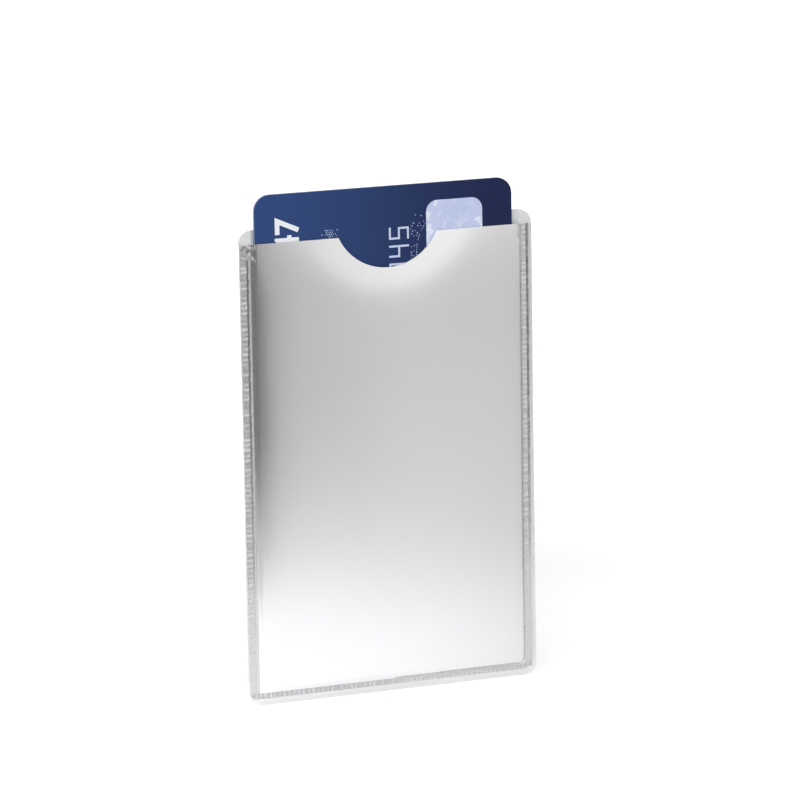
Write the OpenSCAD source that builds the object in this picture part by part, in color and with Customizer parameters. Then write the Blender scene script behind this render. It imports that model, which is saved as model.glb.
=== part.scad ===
// A slim shielded sleeve for one card, with a contactless chip card in it.
// It stands upright on its bottom weld as a pouch: X to the right, Y to the back, Z up to the mouth.
// Origin: middle of the bottom edge, halfway through the thickness. Millimetres.

/* [Card] */
// Width of the card, which stands on its short side in the sleeve
card_w = 53.98; // [48:0.01:60]
// Length of the card, upwards
card_l = 85.6; // [78:0.1:92]
// Radius of the card's corners
card_r = 3.18; // [1:0.01:5]
// Thickness of each clear overlay
overlay_t = 0.1; // [0.06:0.01:0.14]
// Thickness of each printed core sheet
core_t = 0.2; // [0.16:0.01:0.3]
// Thickness of the sheet that carries the antenna
inlay_t = 0.16; // [0.14:0.01:0.24]
// How far the card stands above the front sheet's edge
card_rise = 9.45; // [2:0.05:30]
// How far the card lies to the left of the middle of the pocket
card_left = 0.5; // [0:0.05:0.55]

/* [Chip] */
// Middle of the chip from the card's left edge
chip_x = 23.9; // [18:0.1:32]
// Middle of the chip from the card's lower edge
chip_z = 15.1; // [14:0.1:30]
// Width of the chip module
module_w = 11.8; // [11:0.1:13]
// Length of the chip module
module_l = 13; // [12.4:0.1:14]
// Radius of the chip module's corners
module_r = 1.6; // [0.5:0.1:2.5]
// Distance between the middles of two contacts in a row
contact_pitch = 2.54; // [2.3:0.01:2.7]
// Width of the bare band between the two rows of contacts
contact_band = 3.6; // [2:0.1:5]
// Width of the cuts that part the contacts
contact_cut = 0.2; // [0.1:0.05:0.4]
// Thickness of the gold contact foil
contact_t = 0.06; // [0.04:0.01:0.08]
// Thickness of the tape under the contacts
tape_t = 0.12; // [0.08:0.01:0.14]
// Width of the silicon chip
die_w = 2.6; // [1.5:0.1:4]
// Length of the silicon chip
die_l = 2.2; // [1.5:0.1:4]
// Thickness of the silicon chip
die_t = 0.14; // [0.08:0.01:0.2]
// Width of the resin block over the chip
resin_w = 6.4; // [5:0.1:7]
// Length of the resin block over the chip
resin_l = 6; // [5:0.1:8]
// Radius of the resin block's corners
resin_r = 1.2; // [0.3:0.1:2]
// Thickness of the resin block
resin_t = 0.34; // [0.24:0.01:0.36]
// Gap round the resin block
resin_gap = 0.25; // [0.05:0.05:0.4]
// Gap under the resin block
resin_floor = 0.05; // [0.02:0.01:0.1]

/* [Antenna] */
// Turns of the antenna
coil_turns = 4; // [2:1:6]
// Width of the antenna's track
track_w = 0.6; // [0.3:0.1:0.8]
// Gap between two turns of the track
track_gap = 0.5; // [0.3:0.1:0.8]
// Thickness of the track and of its bridge
track_t = 0.06; // [0.03:0.01:0.06]
// Radius of the turns' corners at the middle of the track
track_r = 1.6; // [0.6:0.1:3]
// Distance from the card's edge to the middle of the outer turn
coil_inset = 3.2; // [2:0.1:5]
// Width of the square pads at the two ends of the coil
pad_w = 1.4; // [0.8:0.1:1.6]
// Gap between a pad and the hole for the resin block
pad_gap = 0.3; // [0.1:0.1:0.5]
// Radius of the bumps that join the pads to the chip module
bump_r = 0.45; // [0.2:0.05:0.6]
// Gap round each bump
bump_gap = 0.1; // [0.05:0.01:0.2]

/* [Patches on the card] */
// Width of the hologram patch
hologram_w = 11.9; // [8:0.1:16]
// Length of the hologram patch
hologram_l = 16.5; // [10:0.1:24]
// Radius of the hologram patch's corners
hologram_r = 2.3; // [0.5:0.1:4]
// Hologram patch from the card's right edge
hologram_x = 6.3; // [4:0.1:10]
// Hologram patch from the card's upper edge
hologram_z = 3.5; // [2:0.1:10]
// Width of the magnetic stripe
stripe_w = 12.7; // [9:0.1:13]
// Magnetic stripe from the card's edge
stripe_x = 4.1; // [3:0.1:6]
// Width of the signature panel
panel_w = 9.5; // [6:0.1:12]
// Length of the signature panel
panel_l = 58; // [40:1:70]
// Signature panel from the magnetic stripe
panel_x = 4; // [2:0.5:8]
// Signature panel from the card's lower edge
panel_z = 14; // [4:1:20]
// Thickness of the hologram patch, the stripe and the signature panel
patch_t = 0.05; // [0.03:0.01:0.05]

/* [Sleeve sheets] */
// Thickness of the clear outer film
film_t = 0.12; // [0.08:0.01:0.2]
// Thickness of the aluminium shield foil
foil_t = 0.06; // [0.04:0.01:0.1]
// Thickness of the lining film
lining_t = 0.1; // [0.06:0.01:0.2]
// Gap between each face of the card and the lining
face_gap = 0.15; // [0.05:0.01:0.4]
// Play between each side of the card and the pocket's side
side_gap = 0.66; // [0.56:0.02:1.5]
// Height of the front sheet, from the bottom edge
front_h = 92; // [80:1:110]
// How far the rear sheet stands above the front sheet
tab_h = 2.75; // [1:0.25:10]
// Radius of the sleeve's four outer corners
sleeve_r = 2.75; // [1.5:0.05:4]
// Width of the thumb notch along the front sheet's edge
notch_w = 20.6; // [12:0.1:30]
// Depth of the thumb notch
notch_d = 6.55; // [3:0.05:12]

/* [Welds] */
// Width of the clear rim outside the ladder, at the right and the bottom
rim_w = 1.35; // [0.8:0.05:2.5]
// Width of the clear rim outside the ladder, at the left
left_rim_w = 0.4; // [0.2:0.05:0.7]
// Width of the pressed groove beside the ladder
groove_w = 0.5; // [0.2:0.05:0.7]
// Width of the raised ladder
ladder_w = 1; // [0.8:0.05:1.6]
// Width of the strip between the ladder and the pocket
root_w = 0.05; // [0.05:0.05:0.6]
// Width of the slope from the weld up to the sheets
flank_w = 0.75; // [0.5:0.05:1.5]
// Thickness of the rim
rim_t = 0.44; // [0.36:0.02:0.5]
// Thickness of the pressed groove
groove_t = 0.28; // [0.2:0.02:0.36]
// Thickness of the ladder between its rungs
land_t = 0.4; // [0.36:0.02:0.46]
// Thickness of the ladder's two rails
rail_t = 0.52; // [0.48:0.02:0.6]
// Thickness of the ladder's rungs
rung_t = 0.62; // [0.5:0.02:0.8]
// Width of each rail
rail_w = 0.15; // [0.1:0.05:0.3]
// Width of each rung
rung_w = 0.5; // [0.3:0.05:0.6]
// Distance from one rung to the next
rung_pitch = 1; // [0.8:0.05:2]
// Radius of the ladder's outer corners at the bottom
ladder_r = 1; // [0.2:0.1:1.2]
// Length of the melted end of each side weld, at the mouth
end_l = 3; // [1:0.1:6]
// Width of the melted end
end_w = 2; // [1:0.1:2.2]
// Thickness of the melted end
end_t = 0.66; // [0.5:0.02:0.9]
// Radius of the melted end's corners
end_r = 0.6; // [0.2:0.1:0.9]

/* [Hidden] */
$fn = 72;

// Sleeve, across: s is the distance inwards from a cut edge
seam_w = rim_w + ladder_w + root_w;
border_w = seam_w + flank_w;
pocket_w = card_w + 2 * side_gap;
sleeve_w = pocket_w + 2 * border_w;
rear_h = front_h + tab_h;
ladder_in = rim_w + ladder_w;
left_inner_w = seam_w - left_rim_w - ladder_w - groove_w;
rung_z0 = ladder_in;
rung_z1 = front_h - end_l;
outer_steps = [[rim_w - groove_w, rim_t], [groove_w, groove_t], [ladder_w, land_t], [root_w, groove_t]];
left_steps = [[left_rim_w, rim_t], [ladder_w, land_t], [groove_w, groove_t], [left_inner_w, rim_t]];
notch_r = (notch_w * notch_w / 4 + notch_d * notch_d) / (2 * notch_d);

// Sleeve, through: distance from the middle plane to the faces of each sheet
card_t = 2 * overlay_t + 2 * core_t + inlay_t;
lining_y = card_t / 2 + face_gap;
foil_y = lining_y + lining_t;
film_y = foil_y + foil_t;
wall_t = lining_t + foil_t + film_t;
sleeve_t = 2 * (lining_y + wall_t);

// Card: its place, and the front face of each of its layers
card_x = -card_left;
card_z = front_h + card_rise - card_l;
front_y = -card_t / 2;
front_core_y = front_y + overlay_t;
inlay_y = front_core_y + core_t;
rear_core_y = inlay_y + inlay_t;
rear_overlay_y = rear_core_y + core_t;

// Chip: places on the card, from the middle of its lower edge
chip_at = chip_x - card_w / 2;
tape_y = front_y + contact_t;
shelf_y = tape_y + tape_t;
pad_at = resin_w / 2 + resin_gap + pad_gap + pad_w / 2;
via_t = inlay_t - 2 * track_t;

// Antenna
track_pitch = track_w + track_gap;
coil_x = card_w / 2 - coil_inset;
coil_low = coil_inset;
coil_high = card_l - coil_inset;

// Profiles

// Where step i of a stepped profile starts, from the widths before it
function start_of(steps, i) = i == 0 ? 0 : start_of(steps, i - 1) + steps[i - 1][0];
// One side of a stepped profile: two points for each [width, thickness]
function stepped(steps, side) = [
    for (i = [0 : len(steps) - 1])
        for (e = [0, 1])
            [start_of(steps, i + e), side * steps[i][1] / 2]
];
function reversed(list) = [for (i = [len(list) - 1 : -1 : 0]) list[i]];
// Cross-section of a fused border: the stepped weld, then the two sheets as they part
function border_profile(steps) = concat(
    stepped(steps, -1),
    [
        [border_w, -lining_y - wall_t],
        [border_w, -lining_y],
        [seam_w, 0],
        [border_w, lining_y],
        [border_w, lining_y + wall_t]
    ],
    reversed(stepped(steps, 1))
);
// Side view of a row of rungs: each stands out of the land on both faces
function comb(count) = concat(
    [
        for (i = [0 : count - 1])
            each let (z = i * rung_pitch) [
                [z, -land_t / 2], [z, -rung_t / 2], [z + rung_w, -rung_t / 2], [z + rung_w, -land_t / 2]
            ]
    ],
    [
        for (i = [count - 1 : -1 : 0])
            each let (z = i * rung_pitch) [
                [z + rung_w, land_t / 2], [z + rung_w, rung_t / 2], [z, rung_t / 2], [z, land_t / 2]
            ]
    ]
);
// Cross-section of a rear sheet above the front one: flat, with its two sides sloping to the weld's plane
function tab_profile(y, t) = [
    [-sleeve_w / 2, y - lining_y],
    [seam_w - sleeve_w / 2, y - lining_y],
    [-pocket_w / 2, y],
    [pocket_w / 2, y],
    [sleeve_w / 2 - seam_w, y - lining_y],
    [sleeve_w / 2, y - lining_y],
    [sleeve_w / 2, y - lining_y + t],
    [sleeve_w / 2 - seam_w, y - lining_y + t],
    [pocket_w / 2, y + t],
    [-pocket_w / 2, y + t],
    [seam_w - sleeve_w / 2, y - lining_y + t],
    [-sleeve_w / 2, y - lining_y + t]
];

// Shared shapes

// Stands a flat outline up in the XZ plane, from y to y + t
module upright(y, t) {
    translate([0, y + t, 0])
        rotate([90, 0, 0])
            linear_extrude(t)
                children();
}
// Rounded rectangle with its lower left corner at x, z
module rounded(x, z, w, h, r) {
    translate([x + r, z])
        square([w - 2 * r, h]);
    translate([x, z + r])
        square([w, h - 2 * r]);
    for (cx = [x + r, x + w - r])
        for (cz = [z + r, z + h - r])
            translate([cx, cz])
                circle(r);
}
// Outline of the whole sleeve up to the height h, thick enough to take in both sheets
module outline_block(h) {
    upright(-sleeve_t, 2 * sleeve_t)
        intersection() {
            rounded(-sleeve_w / 2, 0, sleeve_w, rear_h, sleeve_r);
            translate([-sleeve_w / 2, 0])
                square([sleeve_w, h]);
        }
}

// Sleeve sheets

module front_sheet(y, t) {
    difference() {
        translate([-pocket_w / 2, -y - t, border_w])
            cube([pocket_w, t, front_h - border_w]);
        translate([0, 0, front_h - notch_d + notch_r])
            rotate([90, 0, 0])
                cylinder(h = 2 * sleeve_t, r = notch_r, center = true, $fn = 144);
    }
}
module rear_sheet(y, t) {
    translate([-pocket_w / 2, y, border_w])
        cube([pocket_w, t, front_h - border_w]);
    intersection() {
        translate([0, 0, front_h])
            linear_extrude(tab_h)
                polygon(tab_profile(y, t));
        outline_block(rear_h);
    }
}
module front_outer_film() {
    color("silver")
        front_sheet(film_y, film_t);
}
module front_shield_foil() {
    color("lightgray")
        front_sheet(foil_y, foil_t);
}
module front_lining() {
    color("gainsboro")
        front_sheet(lining_y, lining_t);
}
module rear_outer_film() {
    color("silver")
        rear_sheet(film_y, film_t);
}
module rear_shield_foil() {
    color("lightgray")
        rear_sheet(foil_y, foil_t);
}
module rear_lining() {
    color("gainsboro")
        rear_sheet(lining_y, lining_t);
}

// Welds

// Two rails with rungs between them; the ladder is ladder_w wide along X and climbs along Z
module ladder(length) {
    rungs = floor((length - rung_w) / rung_pitch) + 1;
    spare = length - (rungs - 1) * rung_pitch - rung_w;
    for (x = [0, ladder_w - rail_w])
        translate([x, -rail_t / 2, 0])
            cube([rail_w, rail_t, length]);
    translate([ladder_w - rail_w, 0, spare / 2])
        rotate([0, -90, 0])
            linear_extrude(ladder_w - 2 * rail_w)
                polygon(comb(rungs));
}
// Smooth corners of the ladder, where a side one turns into the bottom one
module ladder_corners() {
    upright(-rail_t / 2, rail_t)
        intersection() {
            rounded(left_rim_w - sleeve_w / 2, rim_w, sleeve_w - left_rim_w - rim_w, front_h, ladder_r);
            union() {
                translate([left_rim_w - sleeve_w / 2, rim_w])
                    square([ladder_in - left_rim_w, ladder_w]);
                translate([sleeve_w / 2 - ladder_in, rim_w])
                    square(ladder_w);
            }
        }
}
// Melted lump at the top of a side weld; x is its outer side
module melted_end(x) {
    upright(-end_t / 2, end_t)
        rounded(x, front_h - end_l, end_w, end_l, end_r);
}
// Keeps the part of a fused border that lies inside the outline corners; the flat mitres meet the other welds
module mitred(corners) {
    intersection() {
        union()
            children();
        upright(-sleeve_t, 2 * sleeve_t)
            polygon(corners);
        outline_block(front_h);
    }
}
function side_mitre() = [
    [-sleeve_w / 2, 0],
    [-sleeve_w / 2, front_h],
    [-pocket_w / 2, front_h],
    [-pocket_w / 2, border_w]
];
module left_weld_seam() {
    color("whitesmoke")
        mitred(side_mitre()) {
            translate([-sleeve_w / 2, 0, 0])
                linear_extrude(front_h)
                    polygon(border_profile(left_steps));
            translate([left_rim_w - sleeve_w / 2, 0, rung_z0])
                ladder(rung_z1 - rung_z0);
            ladder_corners();
            melted_end(seam_w - end_w - sleeve_w / 2);
        }
}
module right_weld_seam() {
    color("whitesmoke")
        mitred([for (p = side_mitre()) [-p[0], p[1]]]) {
            mirror([1, 0, 0])
                translate([-sleeve_w / 2, 0, 0])
                    linear_extrude(front_h)
                        polygon(border_profile(outer_steps));
            translate([sleeve_w / 2 - ladder_in, 0, rung_z0])
                ladder(rung_z1 - rung_z0);
            ladder_corners();
            melted_end(sleeve_w / 2 - seam_w);
        }
}
module bottom_weld_seam() {
    run = sleeve_w - 2 * ladder_in;
    color("whitesmoke")
        mitred([
            [-sleeve_w / 2, 0], [sleeve_w / 2, 0], [pocket_w / 2, border_w], [-pocket_w / 2, border_w]
        ]) {
            rotate([0, -90, 0])
                linear_extrude(sleeve_w, center = true)
                    polygon(border_profile(outer_steps));
            translate([run / 2, 0, rim_w])
                rotate([0, -90, 0])
                    ladder(run);
            ladder_corners();
        }
}

// Card layers, in the card's own frame: middle of its lower edge

module placed() {
    translate([card_x, 0, card_z])
        children();
}
module card_sheet(y, t) {
    upright(y, t)
        rounded(-card_w / 2, 0, card_w, card_l, card_r);
}
module module_recess(y, depth) {
    upright(y, depth)
        rounded(chip_at - module_w / 2, chip_z - module_l / 2, module_w, module_l, module_r);
}
// Hole for the resin block, from the shelf under the tape to a blind floor
module resin_recess() {
    upright(shelf_y, resin_t + resin_floor)
        rounded(
            chip_at - resin_w / 2 - resin_gap, chip_z - resin_l / 2 - resin_gap,
            resin_w + 2 * resin_gap, resin_l + 2 * resin_gap, resin_r
        );
}
module bumps(y, t, r) {
    for (side = [-1, 1])
        translate([chip_at + side * pad_at, y + t, chip_z])
            rotate([90, 0, 0])
                cylinder(h = t, r = r, $fn = 36);
}
module hologram_area(y, t) {
    upright(y, t)
        rounded(
            card_w / 2 - hologram_x - hologram_w, card_l - hologram_z - hologram_l,
            hologram_w, hologram_l, hologram_r
        );
}
module stripe_area(y, t) {
    translate([stripe_x - card_w / 2, y, 0])
        cube([stripe_w, t, card_l]);
}
module panel_area(y, t) {
    translate([stripe_x + stripe_w + panel_x - card_w / 2, y, panel_z])
        cube([panel_w, t, panel_l]);
}
module card_front_overlay() {
    color("midnightblue")
        placed()
            difference() {
                card_sheet(front_y, overlay_t);
                module_recess(front_y, shelf_y - front_y);
                hologram_area(front_y, patch_t);
            }
}
module card_front_core() {
    color("navy")
        placed()
            difference() {
                card_sheet(front_core_y, core_t);
                module_recess(front_y, shelf_y - front_y);
                resin_recess();
                bumps(shelf_y, inlay_y - shelf_y, bump_r + bump_gap);
            }
}
module card_antenna_inlay() {
    color("aliceblue")
        placed()
            difference() {
                card_sheet(inlay_y, inlay_t);
                resin_recess();
                coil_track();
                bridge_strap();
            }
}
module card_rear_core() {
    color("navy")
        placed()
            difference() {
                card_sheet(rear_core_y, core_t);
                resin_recess();
            }
}
module card_rear_overlay() {
    color("midnightblue")
        placed()
            difference() {
                card_sheet(rear_overlay_y, overlay_t);
                stripe_area(-front_y - patch_t, patch_t);
                panel_area(-front_y - patch_t, patch_t);
            }
}

// Antenna

module run_x(x0, x1, z) {
    translate([min(x0, x1), inlay_y, z - track_w / 2])
        cube([abs(x1 - x0), track_t, track_w]);
}
module run_z(x, z0, z1) {
    translate([x - track_w / 2, inlay_y, min(z0, z1)])
        cube([track_w, track_t, abs(z1 - z0)]);
}
// Quarter turn of the track round the middle x, z; turn is the angle that it starts at
module bend(x, z, turn) {
    translate([x, inlay_y + track_t, z])
        rotate([90, 0, 0])
            rotate([0, 0, turn])
                rotate_extrude(angle = 90)
                    translate([track_r - track_w / 2, 0])
                        square([track_w, track_t]);
}
// One flat spiral: each turn runs right, up, left and down, and steps inwards as it comes round
module coil_track() {
    for (k = [0 : coil_turns - 1]) {
        low = coil_low + k * track_pitch;
        high = coil_high - k * track_pitch;
        right = coil_x - k * track_pitch;
        next_low = low + track_pitch;
        start = k == 0 ? chip_at + pad_at - pad_w / 2 : track_r - right - track_pitch;
        run_x(start, right - track_r, low);
        bend(right - track_r, low + track_r, 270);
        run_z(right, low + track_r, high - track_r);
        bend(right - track_r, high - track_r, 0);
        run_x(track_r - right, right - track_r, high);
        bend(track_r - right, high - track_r, 90);
        run_z(-right, next_low + track_r, high - track_r);
        bend(track_r - right, next_low + track_r, 180);
    }
    coil_lead();
    for (side = [-1, 1])
        translate([chip_at + side * pad_at - pad_w / 2, inlay_y, chip_z - pad_w / 2])
            cube([pad_w, track_t, pad_w]);
}
// Last stretch of the spiral, to the pad on the left of the chip
module coil_lead() {
    last = coil_low + coil_turns * track_pitch;
    left = -coil_x + (coil_turns - 1) * track_pitch;
    pad_x = chip_at - pad_at;
    run_x(left + track_r, pad_x + track_w / 2, last);
    run_z(pad_x, last - track_w / 2, chip_z);
}
// Strap behind the inlay from the spiral's outer end to the pad on the right of the chip, under the turns
module bridge_strap() {
    x = chip_at + pad_at;
    translate([x - track_w / 2, inlay_y + inlay_t - track_t, coil_low - track_w / 2])
        cube([track_w, track_t, chip_z - coil_low + track_w]);
    for (z = [coil_low, chip_z])
        translate([x - track_w / 2, inlay_y + track_t, z - track_w / 2])
            cube([track_w, via_t, track_w]);
}
module antenna_coil() {
    color("peru")
        placed() {
            coil_track();
            bumps(shelf_y, inlay_y - shelf_y, bump_r);
        }
}
module antenna_bridge() {
    color("peru")
        placed()
            bridge_strap();
}

// Chip module

// Straight cut right through the contact foil, from its lower left corner
module contact_slot(x, z, w, l) {
    translate([x, front_y - contact_t, z])
        cube([w, 3 * contact_t, l]);
}
// Two rows of four contacts on either side of a bare band
module chip_contacts() {
    left = chip_at - module_w / 2;
    row_l = (module_l - contact_band) / 2 + contact_cut;
    color("gold")
        placed()
            difference() {
                module_recess(front_y, contact_t);
                for (side = [-1, 1]) {
                    contact_slot(
                        left - contact_cut, chip_z + (side * contact_band - contact_cut) / 2,
                        module_w + 2 * contact_cut, contact_cut
                    );
                    for (i = [-1 : 1])
                        contact_slot(
                            chip_at + i * contact_pitch - contact_cut / 2,
                            chip_z + (side > 0 ? contact_band / 2 : -contact_band / 2 - row_l),
                            contact_cut, row_l
                        );
                }
            }
}
module chip_tape() {
    color("darkolivegreen")
        placed()
            module_recess(tape_y, tape_t);
}
module chip_die() {
    color("dimgray")
        placed()
            translate([chip_at - die_w / 2, shelf_y, chip_z - die_l / 2])
                cube([die_w, die_t, die_l]);
}
module chip_resin() {
    color("black")
        placed()
            difference() {
                upright(shelf_y, resin_t)
                    rounded(chip_at - resin_w / 2, chip_z - resin_l / 2, resin_w, resin_l, resin_r);
                translate([chip_at - die_w / 2, shelf_y, chip_z - die_l / 2])
                    cube([die_w, die_t, die_l]);
            }
}

// Patches on the card's faces

module hologram_patch() {
    color("lightsteelblue")
        placed()
            hologram_area(front_y, patch_t);
}
module magnetic_stripe() {
    color("black")
        placed()
            stripe_area(-front_y - patch_t, patch_t);
}
module signature_panel() {
    color("white")
        placed()
            panel_area(-front_y - patch_t, patch_t);
}

front_outer_film();
front_shield_foil();
front_lining();
rear_outer_film();
rear_shield_foil();
rear_lining();
left_weld_seam();
right_weld_seam();
bottom_weld_seam();
card_front_overlay();
card_front_core();
card_antenna_inlay();
card_rear_core();
card_rear_overlay();
antenna_coil();
antenna_bridge();
chip_contacts();
chip_tape();
chip_die();
chip_resin();
hologram_patch();
magnetic_stripe();
signature_panel();
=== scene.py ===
import math
import random
import bmesh
import bpy
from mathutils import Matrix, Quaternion, Vector, noise


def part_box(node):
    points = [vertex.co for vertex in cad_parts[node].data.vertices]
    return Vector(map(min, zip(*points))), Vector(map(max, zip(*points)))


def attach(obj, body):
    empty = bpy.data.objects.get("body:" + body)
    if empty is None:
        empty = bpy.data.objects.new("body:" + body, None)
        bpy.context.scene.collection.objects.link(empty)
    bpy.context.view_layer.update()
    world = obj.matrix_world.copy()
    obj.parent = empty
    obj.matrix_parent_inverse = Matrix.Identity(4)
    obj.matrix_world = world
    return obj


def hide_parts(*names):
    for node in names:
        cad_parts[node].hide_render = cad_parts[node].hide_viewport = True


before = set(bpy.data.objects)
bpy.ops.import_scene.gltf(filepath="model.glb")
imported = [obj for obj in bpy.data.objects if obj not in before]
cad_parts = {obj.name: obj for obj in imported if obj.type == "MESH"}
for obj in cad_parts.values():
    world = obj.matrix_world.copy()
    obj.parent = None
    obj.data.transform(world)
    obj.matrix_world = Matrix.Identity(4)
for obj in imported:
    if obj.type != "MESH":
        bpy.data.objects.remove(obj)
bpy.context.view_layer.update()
mm = 0.001
sharpAngle = math.radians(40)
print("frame loaded")


# small helpers for sizes

def mix(a, b, share):
    return a + (b - a) * share


def smooth(low, high, value):
    share = min(max((value - low) / (high - low), 0), 1)
    return share * share * (3 - 2 * share)


def band(value, low, high, edge):
    # 1 between low and high, 0 outside, with soft edges
    return smooth(low - edge, low + edge, value) * (1 - smooth(high - edge, high + edge, value))


def speckle(x, z, seed, size):
    # smooth noise about 0, in spots of a size
    return noise.noise(Vector((x, z, seed)) / size)


def crowded(share, power):
    # 0 to 1, with more steps near both ends
    side = 2 * share - 1
    return 0.5 + 0.5 * math.copysign(1 - (1 - abs(side)) ** (1 / power), side)


# small helpers for materials

def newMaterial(name):
    material = bpy.data.materials.new(name)
    material.use_nodes = True
    tree = material.node_tree
    return material, tree, tree.nodes["Principled BSDF"]


def addNode(tree, kind, **settings):
    node = tree.nodes.new(kind)
    for key, value in settings.items():
        setattr(node, key, value)
    return node


def feed(tree, socket, value):
    if isinstance(value, bpy.types.NodeSocket):
        tree.links.new(value, socket)
    elif value is not None:
        socket.default_value = value


def calc(tree, operation, a, b=None, c=None):
    node = addNode(tree, "ShaderNodeMath", operation=operation)
    for socket, value in zip(node.inputs, (a, b, c)):
        feed(tree, socket, value)
    return node.outputs[0]


def distance(tree, a, b):
    # how far the point a, b of a plane is from its middle
    squares = [calc(tree, "POWER", side, 2) for side in (a, b)]
    return calc(tree, "SQRT", calc(tree, "ADD", *squares))


def dieAway(tree, value, reach):
    # 1 where the value is 0, then less and less over the reach
    return calc(tree, "EXPONENT", calc(tree, "DIVIDE", value, -reach))


def coordinates(tree):
    # the piece's own coordinates, in metres
    return addNode(tree, "ShaderNodeTexCoord").outputs["Object"]


def apart(tree, vector):
    # x, y and z of a vector
    split = addNode(tree, "ShaderNodeSeparateXYZ")
    tree.links.new(vector, split.inputs[0])
    return split.outputs


def attribute(tree, name):
    return addNode(tree, "ShaderNodeAttribute", attribute_name=name).outputs["Fac"]


def noiseNode(tree, vector, scale, detail, roughness=0.5):
    node = addNode(tree, "ShaderNodeTexNoise")
    tree.links.new(vector, node.inputs["Vector"])
    node.inputs["Scale"].default_value = scale
    node.inputs["Detail"].default_value = detail
    node.inputs["Roughness"].default_value = roughness
    return node.outputs["Fac"]


def remap(tree, value, low, high, toLow, toHigh, kind="LINEAR"):
    node = addNode(tree, "ShaderNodeMapRange", interpolation_type=kind)
    feed(tree, node.inputs["Value"], value)
    node.inputs["From Min"].default_value = low
    node.inputs["From Max"].default_value = high
    node.inputs["To Min"].default_value = toLow
    node.inputs["To Max"].default_value = toHigh
    return node.outputs["Result"]


def stretched(tree, cloud, low, high):
    # noise lies mostly between 0.3 and 0.7, and is stretched to low and high
    return remap(tree, cloud, 0.3, 0.7, low, high)


def mixColour(tree, share, a, b):
    node = addNode(tree, "ShaderNodeMix", data_type="RGBA")
    feed(tree, node.inputs["Factor"], share)
    feed(tree, node.inputs[6], a if isinstance(a, bpy.types.NodeSocket) else (*a, 1))
    feed(tree, node.inputs[7], b if isinstance(b, bpy.types.NodeSocket) else (*b, 1))
    return node.outputs[2]


def cloudColour(tree, shader, cloud, tones):
    # a base colour that drifts between two tones
    tree.links.new(mixColour(tree, cloud, *tones), shader.inputs["Base Color"])


# small helpers for meshes

def addObject(name, data):
    made = bpy.data.objects.new(name, data)
    bpy.context.scene.collection.objects.link(made)
    return made


def meshFrom(bm, name):
    mesh = bpy.data.meshes.new(name)
    bm.to_mesh(mesh)
    bm.free()
    return mesh


def onlyVerts(geom):
    return [v for v in geom if isinstance(v, bmesh.types.BMVert)]


def shareGrid(bm, columns, rows):
    # a flat grid, with each vertex's place across it and up it from 0 to 1
    made = bmesh.ops.create_grid(bm, x_segments=columns, y_segments=rows, size=0.5)["verts"]
    return [(v, v.co.x + 0.5, v.co.y + 0.5) for v in made]


def roundCorner(bm, x, z, sideX, sideZ, radius, cuts=9):
    # trims a flat sheet to a round corner with straight cuts along its tangents; x, z is the arc's middle
    for i in range(cuts):
        angle = (i + 0.5) / cuts * math.pi / 2
        out = Vector((math.cos(angle) * sideX, 0, math.sin(angle) * sideZ))
        bmesh.ops.bisect_plane(
            bm, geom=bm.verts[:] + bm.edges[:] + bm.faces[:], dist=1e-7,
            plane_co=Vector((x, 0, z)) + out * radius, plane_no=out, clear_outer=True,
        )


def finishPiece(bm, name, body, materials, nodes=()):
    bmesh.ops.recalc_face_normals(bm, faces=bm.faces)
    mesh = meshFrom(bm, name)
    piece = addObject(name, mesh)
    for material in materials:
        mesh.materials.append(material)
    mesh.polygons.foreach_set("use_smooth", [True] * len(mesh.polygons))
    mesh.set_sharp_from_angle(angle=sharpAngle)
    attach(piece, body)
    if nodes:
        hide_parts(*nodes)
    print(name, len(mesh.polygons), "faces")


# camera: the photograph's long lens from the front left, a little above

view = {
    "azimuth": -21.54, "elevation": 11.26, "roll": -0.94,
    "distance": 0.926, "target": (0.00231, 0, 0.05863),
    "focal": 211.5, "sensor": 36, "nearest": 0.05, "farthest": 50,
}


def makeCamera():
    azimuth, elevation, roll = (math.radians(view[k]) for k in ("azimuth", "elevation", "roll"))
    back = Vector((
        math.sin(azimuth) * math.cos(elevation),
        -math.cos(azimuth) * math.cos(elevation),
        math.sin(elevation),
    ))
    data = bpy.data.cameras.new("camera")
    data.lens = view["focal"]
    data.sensor_width = view["sensor"]
    data.clip_start = view["nearest"]
    data.clip_end = view["farthest"]
    camera = addObject("camera", data)
    camera.location = Vector(view["target"]) + back * view["distance"]
    camera.rotation_mode = "QUATERNION"
    camera.rotation_quaternion = (-back).to_track_quat("-Z", "Y") @ Quaternion((0, 0, 1), roll)
    bpy.context.scene.camera = camera


makeCamera()


# studio: white floor, a small lamp above, a large one at the front left, and two upright grey screens
# that only reflections show

studio = {
    "floorSize": 3, "floorColour": (0.86, 0.86, 0.865), "floorSeen": 0.345, "seenRise": (0.1, 0.28),
    # farGloss and nearGloss give the floor a painted glow that only reflections see
    "farGloss": 0.85, "farRise": (0.9, 1.6),
    "nearGloss": 0.345, "nearFall": (0.04, 0.19), "nearAt": (-0.07, -0.05),
    "worldSeen": 1.0, "worldLight": 0.34,
    "topAt": (-0.2, 0.0, 0.4), "topSize": 0.36, "topPower": 1.0,
    "sideAt": (-0.5, -0.95, 0.65), "sideSize": 0.7, "sidePower": 6.4, "lampAim": (0, 0, 0.04),
    "flagDistance": 0.11, "flagHeight": 0.16, "flagSteps": 24,
    "leftGrey": 0.22, "leftFlag": (-85, 26), "rightGrey": 0.6, "rightFlag": (52, 120),
    "flagDark": 0.76, "darkEnd": (2, 7), "flagPale": 0.16, "paleEnd": (14, 25),
    "flagFoot": 0.58, "footRise": (0.01, 0.034),
}


def raysSeen(tree, *kinds):
    # 1 for a ray of any of the kinds, else 0
    rays = addNode(tree, "ShaderNodeLightPath").outputs
    seen = rays[kinds[0]]
    for kind in kinds[1:]:
        seen = calc(tree, "MAXIMUM", seen, rays[kind])
    return seen


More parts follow.
